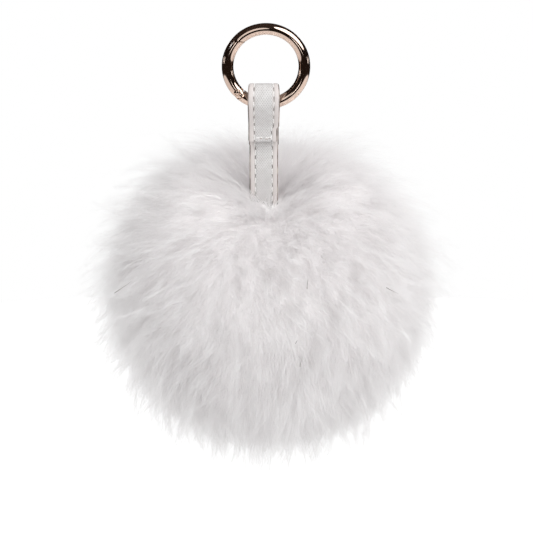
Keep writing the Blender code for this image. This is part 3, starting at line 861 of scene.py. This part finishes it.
def hair_mesh(name, paths, width, material, rng):
    """Three-sided tapering hairs as one mesh. Its UV map holds (shade of the hair, place along it)."""
    hairs, steps, _ = paths.shape
    along = np.gradient(paths, axis=1)
    along /= np.linalg.norm(along, axis=2, keepdims=True)
    outward = paths / np.linalg.norm(paths, axis=2, keepdims=True)
    side = np.cross(along, outward)
    side /= np.maximum(np.linalg.norm(side, axis=2, keepdims=True), 1e-9)
    up = np.cross(side, along)
    share = np.linspace(0, 1, steps)
    taper = width[:, None] * (0.12 + 0.88 * (1 - share[None, :]) ** 0.8)
    corners = []
    for k in range(3):
        turn = tau * k / 3 + pi / 6
        corners.append(paths + taper[..., None] / 2 * (cos(turn) * side + sin(turn) * up))
    points = np.stack(corners, axis=2)
    base = (np.arange(hairs) * steps * 3)[:, None, None]
    ring = (np.arange(steps - 1) * 3)[None, :, None]
    quads = []
    for k in range(3):
        after = (k + 1) % 3
        quads.append(np.array([k, after, after + 3, k + 3])[None, None, :] + ring + base)
    quads = np.stack(quads, axis=2).reshape(-1, 4)
    caps = np.array([[0, 2, 1], [0, 1, 2]])[None, :, :] + np.array([0, (steps - 1) * 3])[None, :, None] + base
    caps = caps.reshape(-1, 3)
    mesh = bpy.data.meshes.new(name)
    mesh.vertices.add(points.size // 3)
    placed = points.reshape(-1, 3) + np.array(BALL_CENTRE)
    mesh.vertices.foreach_set("co", placed.ravel().astype(np.float32))
    loops = np.concatenate([quads.ravel(), caps.ravel()]).astype(np.int32)
    mesh.loops.add(len(loops))
    mesh.loops.foreach_set("vertex_index", loops)
    starts = np.concatenate([np.arange(len(quads)) * 4, len(quads) * 4 + np.arange(len(caps)) * 3])
    mesh.polygons.add(len(starts))
    mesh.polygons.foreach_set("loop_start", starts.astype(np.int32))
    mesh.polygons.foreach_set("use_smooth", np.ones(len(starts), dtype=bool))
    shade = rng.random(hairs)
    hair_of = loops // (steps * 3)
    step_of = (loops % (steps * 3)) // 3
    uv = np.stack([shade[hair_of], share[step_of]], axis=1)
    layer = mesh.uv_layers.new(name="OFBake")
    layer.data.foreach_set("uv", uv.ravel().astype(np.float32))
    mesh.update(calc_edges=True)
    mesh.materials.append(material)
    obj = bpy.data.objects.new(name, mesh)
    bpy.context.scene.collection.objects.link(obj)
    return obj


def clear_of_strap(paths):
    """Which hairs stay out of the strap, which comes up through the middle of the fur."""
    world = paths + np.array(BALL_CENTRE)
    beside = np.abs(world[..., 0] - STRAP_X) < STRAP_HALF + 0.0003
    through = np.abs(world[..., 1]) < THICKNESS / 2 + 0.0003
    return ~(beside & through & (world[..., 2] > FLEX.z)).any(axis=1)


def inside_limits(paths):
    """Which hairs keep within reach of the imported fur's box."""
    world = paths + np.array(BALL_CENTRE)
    low = np.array(FUR_LOW) - HAIR_REACH
    high = np.array(FUR_HIGH) + HAIR_REACH
    return ((world > low) & (world < high)).all(axis=(1, 2))


def thinned(roots, rng):
    """The roots kept where the coat is nearer the middle, so that it is about as dense there as elsewhere."""
    share = (shell_radius(roots) / BALL_ACROSS) ** 2
    share *= 1 - 0.35 * ((roots[:, 1] > 0.0) & (roots[:, 2] > 0.5))
    return roots[rng.random(len(roots)) < share]


def coat_layer(rng, tufts, wisps, count, steps, shortest, longest, hold):
    """One layer of hairs that gather into wisps, which gather into tufts."""
    directions, turn, lean, length = tufts
    mean_length = (shortest + longest) / 2
    lead_paths = hair_paths(directions, turn, lean, length * mean_length, HAIR_ROOT, steps, 1.15)
    size = len(wisps)
    wisp_paths = hair_paths(wisps, swirl(wisps) + rng.normal(0, 0.45, size), rng.normal(0.16, 0.08, size),
                            rng.normal(mean_length, 0.04, size), HAIR_ROOT, steps, 1.15)
    wisp_paths = grouped(wisp_paths, wisps, directions, lead_paths, np.full(size, hold))
    roots = thinned(fibonacci_directions(count, rng, 1.5), rng)
    count = len(roots)
    turn = swirl(roots) + rng.normal(0, 0.55, count)
    lean = np.clip(rng.normal(0.16, 0.09, count), 0.02, 0.6)
    paths = hair_paths(roots, turn, lean, rng.uniform(shortest, longest, count), HAIR_ROOT, steps, 1.15)
    paths = grouped(paths, roots, wisps, wisp_paths, np.clip(rng.normal(hold, 0.15, count), 0, 0.9))
    share = np.linspace(0, 1, steps)[None, :, None]
    paths += rng.normal(0, 0.0006, (count, 1, 3)) * share**2
    paths += rng.normal(0, 0.00012, (count, steps, 3)) * share
    return paths


def spike_layer(rng, count, members, steps):
    """Pointed locks that stand out past the rest of the coat, longest underneath and on the left."""
    leads = thinned(fibonacci_directions(count, rng, 1.6), rng)
    count = len(leads)
    length = rng.normal(1.035, 0.04, count) + 0.070 * np.maximum(0, -leads[:, 2]) ** 1.5
    length += 0.030 * np.maximum(0, -leads[:, 0]) ** 2
    length = np.clip(length, 0.96, 1.16)
    turn = swirl(leads) + rng.normal(0, 0.5, count)
    lean = np.clip(rng.normal(0.17, 0.09, count), 0.0, 0.5)
    lead_paths = hair_paths(leads, turn, lean, length, HAIR_ROOT, steps, 1.1)
    own = np.repeat(np.arange(count), members)
    roots = leads[own] + rng.normal(0, 0.026, (count * members, 3))
    roots /= np.linalg.norm(roots, axis=1, keepdims=True)
    short = length[own] * rng.uniform(0.93, 1.0, len(own))
    paths = hair_paths(roots, turn[own], lean[own], short, HAIR_ROOT, steps, 1.1)
    share = np.linspace(0, 1, steps)[None, :, None]
    pull = share**1.1 * rng.uniform(0.66, 0.97, len(own))[:, None, None]
    paths = paths * (1 - pull) + lead_paths[own] * pull
    return paths + rng.normal(0, 0.00035, (len(own), 1, 3)) * share**2


def stray_layer(rng, count, steps):
    """Single long hairs that curl away from the coat."""
    roots = fibonacci_directions(count, rng, 3.0)
    length = np.clip(rng.normal(1.07, 0.035, count), 1.0, 1.16)
    turn = rng.normal(0, 0.7, count)
    lean = rng.normal(0.25, 0.14, count)
    paths = hair_paths(roots, turn, lean, length, 0.85, steps, 1.1)
    share = np.linspace(0, 1, steps)[None, :, None]
    return paths + rng.normal(0, 0.0024, (count, 1, 3)) * share**2


def collar_layer(rng, count, steps):
    """Loose hair round the foot of the strap, most of it standing up close behind."""
    polar = COLLAR_NEAR + (COLLAR_FAR - COLLAR_NEAR) * rng.random(count) ** 0.8
    behind = rng.random(count) < COLLAR_BEHIND
    round_strap = rng.uniform(0, pi, count) + np.where(behind, 0.0, pi)
    x, y = np.sin(polar) * np.cos(round_strap), np.sin(polar) * np.sin(round_strap)
    roots = np.stack([x, y, np.cos(polar)], axis=1)
    lean = rng.uniform(0.0, 0.45, count)
    turn = rng.normal(0, 0.6, count)
    paths = hair_paths(roots, turn, lean, rng.uniform(0.96, 1.07, count), HAIR_ROOT, steps, 1.2)
    share = np.linspace(0, 1, steps)[None, :, None]
    return paths + rng.normal(0, 0.0009, (count, 1, 3)) * share**2


def make_fur():
    rng = np.random.default_rng(SEED)
    finish = fur_material()
    count = 1500
    directions = fibonacci_directions(count, rng, 1.2)
    tufts = (directions, swirl(directions) + rng.normal(0, 0.22, count), rng.normal(0.17, 0.07, count),
             np.clip(rng.normal(1.0, 0.03, count), 0.9, 1.1))
    wisps = fibonacci_directions(9000, rng, 1.2)
    groups = {
        "under": (coat_layer(rng, tufts, wisps, 45000, 4, 0.80, 0.94, 0.28), 0.00016),
        "guard": (coat_layer(rng, tufts, wisps, 60000, 5, 0.87, 0.995, 0.30), 0.00010),
        "spike": (spike_layer(rng, 2200, 12, 6), 0.000075),
        "stray": (stray_layer(rng, 2600, 7), 0.00006),
        "collar": (collar_layer(rng, 1800, 6), 0.00009),
    }
    for title, (paths, thick) in groups.items():
        paths = paths[clear_of_strap(paths) & inside_limits(paths)]
        hairs, steps, _ = paths.shape
        triangles = 6 * (steps - 1) + 2
        parts = int(np.ceil(hairs * triangles / MOST_TRIANGLES))
        sector = np.arctan2(paths[:, -1, 1], paths[:, -1, 0])
        order = np.argsort(sector)
        for part, members in enumerate(np.array_split(order, parts)):
            width = thick * rng.uniform(0.75, 1.25, len(members))
            piece = hair_mesh(f"fur_{title}_{part:02d}", paths[members], width, finish, rng)
            if title == "collar":
                cross_flex(piece)
            else:
                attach(piece, "ball")


def make_dark_hairs():
    """The few single dark hairs that lie on the front of the coat: middle, direction and length of each."""
    rng = np.random.default_rng(SEED + 1)
    finish = dark_hair_material()
    places = (
        (-0.0417, -0.0722, 0.42, 0.0095), (0.0128, -0.0655, 1.30, 0.0036), (0.0372, -0.0712, -0.40, 0.0050),
        (0.0087, -0.0815, 0.90, 0.0012), (0.0098, -0.0880, 1.40, 0.0020),
    )
    paths = []
    for x, z, turn, length in places:
        across, up = x - BALL_CENTRE.x, z - BALL_CENTRE.z
        front = -sqrt(max(0.0001, 1 - (across / BALL_ACROSS) ** 2 - (up / BALL_TALL) ** 2)) * BALL_ACROSS
        along = np.array((cos(turn), 0.0, sin(turn))) * length
        middle = np.array((across, front, up))
        row = []
        for share in np.linspace(-0.5, 0.5, 8):
            point = middle + along * share
            point /= np.linalg.norm(point)
            row.append(point * shell_radius(point[None, :])[0] * (1.085 + 0.03 * share * share))
        paths.append(row)
    hairs = hair_mesh("fur_dark_hairs", np.array(paths), np.full(len(places), 0.00022), finish, rng)
    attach(hairs, "ball")


def make_underfur():
    """The solid mass of wool that the long hairs stand in."""
    rows, columns = 48, 72
    points = []
    for i in range(rows + 1):
        polar = pi * i / rows
        for k in range(columns):
            turn = tau * k / columns
            points.append((sin(polar) * cos(turn), sin(polar) * sin(turn), cos(polar)))
    directions = np.array(points)
    x, y, z = directions.T
    lumps = 1 + 0.012 * np.sin(23 * x + 3 * z) * np.sin(19 * y + 9 * z)
    hollow = np.clip((z - 0.45) / 0.35, 0, 1) * np.clip(y * 2 + 0.6, 0, 1)
    share = 0.84 - 0.03 * hollow
    placed = directions * (shell_radius(directions) * share * lumps)[:, None] + np.array(BALL_CENTRE)
    mesh = bpy.data.meshes.new("underfur")
    shape = bmesh.new()
    verts = [shape.verts.new(point) for point in placed]
    for i in range(rows):
        for k in range(columns):
            after = (k + 1) % columns
            shape.faces.new((verts[i * columns + k], verts[(i + 1) * columns + k],
                             verts[(i + 1) * columns + after], verts[i * columns + after]))
    bmesh.ops.remove_doubles(shape, verts=shape.verts, dist=1e-6)
    bmesh.ops.recalc_face_normals(shape, faces=shape.faces)
    shape.to_mesh(mesh)
    shape.free()
    mesh.shade_smooth()
    mesh.materials.append(underfur_material())
    obj = bpy.data.objects.new("underfur", mesh)
    bpy.context.scene.collection.objects.link(obj)
    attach(obj, "ball")
    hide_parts("fur_pile")


# ---------------------------------------------------------------- inside the ball


def skin_material():
    """The raw inside of the pelt: cream suede."""
    made, tree, shader = new_material("pelt_skin")
    place = tree.nodes.new("ShaderNodeTexCoord")
    cells = node(tree, "ShaderNodeTexVoronoi", Scale=700.0)
    cloud = node(tree, "ShaderNodeTexNoise", Scale=130.0, Detail=5.0)
    tree.links.new(place.outputs["Object"], cells.inputs["Vector"])
    tree.links.new(place.outputs["Object"], cloud.inputs["Vector"])
    colour = ramp(tree, cloud.outputs["Fac"], [(0.3, (0.62, 0.55, 0.48)), (0.7, (0.76, 0.70, 0.63))])
    tree.links.new(colour, shader.inputs["Base Color"])
    shader.inputs["Roughness"].default_value = 0.9
    bump(tree, cells.outputs["Distance"], 0.4, 0.0002, shader)
    return made


def wadding_material():
    """Matted polyester fibre."""
    made, tree, shader = new_material("wadding")
    place = tree.nodes.new("ShaderNodeTexCoord")
    fibres = node(tree, "ShaderNodeTexNoise", Scale=800.0, Detail=8.0, Roughness=0.8, Distortion=2.5)
    tree.links.new(place.outputs["Object"], fibres.inputs["Vector"])
    colour = ramp(tree, fibres.outputs["Fac"], [(0.35, (0.74, 0.75, 0.77)), (0.65, (0.90, 0.90, 0.91))])
    tree.links.new(colour, shader.inputs["Base Color"])
    shader.inputs["Roughness"].default_value = 0.95
    shader.inputs["Sheen Weight"].default_value = 0.3
    bump(tree, fibres.outputs["Fac"], 0.8, 0.0004, shader)
    return made


def bag(name, profile, ripple, material):
    """A closed form turned about the ball's upright line; ripple(turn, height) moves a point out or in."""
    sides = 120
    middle = Vector((STRAP_X, 0.0, BALL_CENTRE.z))
    rings = []
    for reach, height in profile:
        ring = []
        for k in range(sides):
            turn = tau * k / sides
            out = max(reach + ripple(turn, height), 0.00002) if reach > 0.0001 else 0.00002
            ring.append(middle + Vector((out * cos(turn), out * sin(turn), height)))
        rings.append(ring)
    made = add_mesh(name, *capped(rings), material)
    smooth(made, 60)
    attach(made, "ball")
    return made


def arc(radius, first, last, steps):
    """Profile points (reach, height) on a circle, by the angle from straight up."""
    turns = (first + (last - first) * k / steps for k in range(steps + 1))
    return [(radius * sin(turn), radius * cos(turn)) for turn in turns]


def make_inside():
    """The pelt's pouch with its gathered neck, and the wadding that fills it."""
    pelt_low, pelt_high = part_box("pelt_backing")
    outer = (pelt_high[0] - pelt_low[0]) / 2 - 0.0001
    inner = outer - PELT_WALL
    mouth = asin(NECK_RADIUS / outer)
    neck_top = sqrt(outer**2 - NECK_RADIUS**2)
    skin = arc(inner, pi, mouth + 0.06, 40)
    skin += [(NECK_RADIUS, neck_top - 0.0016), (NECK_RADIUS, neck_top - NECK_TALL)]
    skin += [(NECK_RADIUS - PELT_WALL, neck_top - NECK_TALL), (NECK_RADIUS - PELT_WALL, neck_top - 0.0004)]
    skin += arc(outer, mouth, pi, 40)

    def gathers(turn, height):
        near = max(0.0, (height - 0.45 * outer) / (0.55 * outer))
        return -0.00022 * near * (1 + cos(GATHERS * turn)) / 2

    pouch = bag("pelt_pouch", skin, gathers, skin_material())
    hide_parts("pelt_backing")
    core_low, core_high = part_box("stuffing_core")
    radius = (core_high[0] - core_low[0]) / 2
    rim = asin((WELL_RADIUS + 0.0007) / radius)
    filling = [(0.0, WELL_FLOOR), (WELL_RADIUS * 0.8, WELL_FLOOR), (WELL_RADIUS, WELL_FLOOR + 0.0015)]
    filling += [(WELL_RADIUS, radius * cos(rim) - 0.0007)] + arc(radius, rim, pi, 44)

    def lumps(turn, height):
        return -0.0002 - 0.0002 * sin(5 * turn + 900 * height) * sin(3 * turn - 700 * height)

    wadding = bag("wadding_ball", filling, lumps, wadding_material())
    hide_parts("stuffing_core")
    thread = thread_material()
    for name in ("anchor_stitch_left", "anchor_stitch_right", "gather_thread"):
        finish = frame["nodes"][name].data.materials
        finish.clear()
        finish.append(thread)


# ---------------------------------------------------------------- room


def make_camera():
    back = Vector((0.0, -cos(ELEVATION), sin(ELEVATION)))
    data = bpy.data.cameras.new("camera")
    data.lens = LENS
    data.sensor_width = 36
    camera = bpy.data.objects.new("camera", data)
    camera.location = AIM + back * CAMERA_DISTANCE
    camera.rotation_mode = "QUATERNION"
    camera.rotation_quaternion = (-back).to_track_quat("-Z", "Y")
    bpy.context.scene.collection.objects.link(camera)
    bpy.context.scene.camera = camera


def make_floor():
    low = cad_low[2] - FLOOR_DROP
    shape = bmesh.new()
    bmesh.ops.create_circle(shape, cap_ends=True, segments=96, radius=FLOOR_RADIUS)
    mesh = bpy.data.meshes.new("floor")
    shape.to_mesh(mesh)
    shape.free()
    floor = bpy.data.objects.new("floor", mesh)
    floor.location.z = low
    made, tree, shader = new_material("floor")
    path = tree.nodes.new("ShaderNodeLightPath")
    # The camera and diffuse light see an even pale floor (0.82); glossy rays see it darker (0.47), a painted
    # shade in its reflections on the metal.
    floor_and_reflection_shade = node(tree, "ShaderNodeMix", data_type="RGBA")
    tree.links.new(path.outputs["Is Glossy Ray"], floor_and_reflection_shade.inputs["Factor"])
    floor_and_reflection_shade.inputs["A"].default_value = (0.82, 0.82, 0.82, 1.0)
    floor_and_reflection_shade.inputs["B"].default_value = (0.47, 0.45, 0.45, 1.0)
    tree.links.new(floor_and_reflection_shade.outputs["Result"], shader.inputs["Base Color"])
    shader.inputs["Roughness"].default_value = 0.9
    mesh.materials.append(made)
    bpy.context.scene.collection.objects.link(floor)


def area_light(name, location, size, power, colour=(1.0, 1.0, 1.0)):
    data = bpy.data.lights.new(name, "AREA")
    data.shape = "DISK"
    data.size = size
    data.energy = power
    data.color = colour
    light = bpy.data.objects.new(name, data)
    light.location = location
    light.rotation_mode = "QUATERNION"
    light.rotation_quaternion = (BALL_CENTRE - Vector(location)).to_track_quat("-Z", "Y")
    bpy.context.scene.collection.objects.link(light)


def make_world():
    """White all round for the eye and for soft light.

    Polished metal sees a dark room with softboxes over a pale table.
    """
    world = bpy.data.worlds.new("studio")
    bpy.context.scene.world = world
    world.use_nodes = True
    tree = world.node_tree
    back = tree.nodes["Background"]
    back.inputs["Strength"].default_value = 1.0
    place = tree.nodes.new("ShaderNodeTexCoord")
    split = tree.nodes.new("ShaderNodeSeparateXYZ")
    tree.links.new(place.outputs["Generated"], split.inputs[0])

    def math(operation, first, second=None):
        made = node(tree, "ShaderNodeMath", operation=operation)
        for socket, value in zip(made.inputs, (first, second)):
            if isinstance(value, float):
                socket.default_value = value
            elif value is not None:
                tree.links.new(value, socket)
        return made.outputs[0]

    height = node(tree, "ShaderNodeMapRange", **{"From Min": -1.0, "From Max": 1.0})
    tree.links.new(split.outputs["Z"], height.inputs["Value"])
    cream = (0.69, 0.66, 0.66)
    wall = [(0.31, (0.016, 0.010, 0.007)), (0.55, (0.008, 0.005, 0.004)), (1.0, (0.03, 0.02, 0.016))]
    table = ramp(tree, height.outputs["Result"], [(0.0, cream), (0.24, cream)] + wall)
    turn = math("ARCTAN2", split.outputs["X"], math("MULTIPLY", split.outputs["Y"], -1.0))
    beside = math("ABSOLUTE", math("SUBTRACT", math("PINGPONG", turn, pi / 4), SOFTBOX_TURN))
    level = math("ABSOLUTE", math("SUBTRACT", split.outputs["Z"], SOFTBOX_LEVEL))
    edges = []
    for distance, half in ((beside, SOFTBOX_WIDE), (level, SOFTBOX_TALL)):
        fade = map_range(tree, half * 0.7, half * 1.3, 1.0, 0.0)
        tree.links.new(distance, fade.inputs["Value"])
        edges.append(fade.outputs["Result"])
    wide, tall = edges
    box = math("MULTIPLY", wide, tall)
    mirrored = node(tree, "ShaderNodeMix", data_type="RGBA")
    tree.links.new(box, mirrored.inputs["Factor"])
    tree.links.new(table, mirrored.inputs["A"])
    mirrored.inputs["B"].default_value = (3.2, 3.2, 3.2, 1.0)
    below, level_light, above = (0.76, 0.75, 0.75), (0.80, 0.80, 0.80), (1.52, 1.52, 1.52)
    soft = ramp(tree, height.outputs["Result"], [(0.0, below), (0.5, level_light), (1.0, above)])
    path = tree.nodes.new("ShaderNodeLightPath")
    seen = node(tree, "ShaderNodeMix", data_type="RGBA")
    tree.links.new(path.outputs["Is Camera Ray"], seen.inputs["Factor"])
    tree.links.new(soft, seen.inputs["A"])
    seen.inputs["B"].default_value = (1.0, 1.0, 1.0, 1.0)
    mix = node(tree, "ShaderNodeMix", data_type="RGBA")
    tree.links.new(path.outputs["Is Glossy Ray"], mix.inputs["Factor"])
    tree.links.new(seen.outputs["Result"], mix.inputs["A"])
    tree.links.new(mirrored.outputs["Result"], mix.inputs["B"])
    tree.links.new(mix.outputs["Result"], back.inputs["Color"])


def make_room():
    scene = bpy.context.scene
    scene.view_settings.view_transform = "Standard"
    scene.cycles.max_bounces = 24
    scene.cycles.diffuse_bounces = 24
    make_camera()
    make_floor()
    make_world()
    area_light("key", (0.60, -0.40, 0.55), 1.0, 5.4)
    area_light("fill", (-0.2, -0.8, 0.3), 0.5, 0.5)


make_room()
make_ring()
make_strap()
make_underfur()
make_fur()
make_dark_hairs()
make_inside()
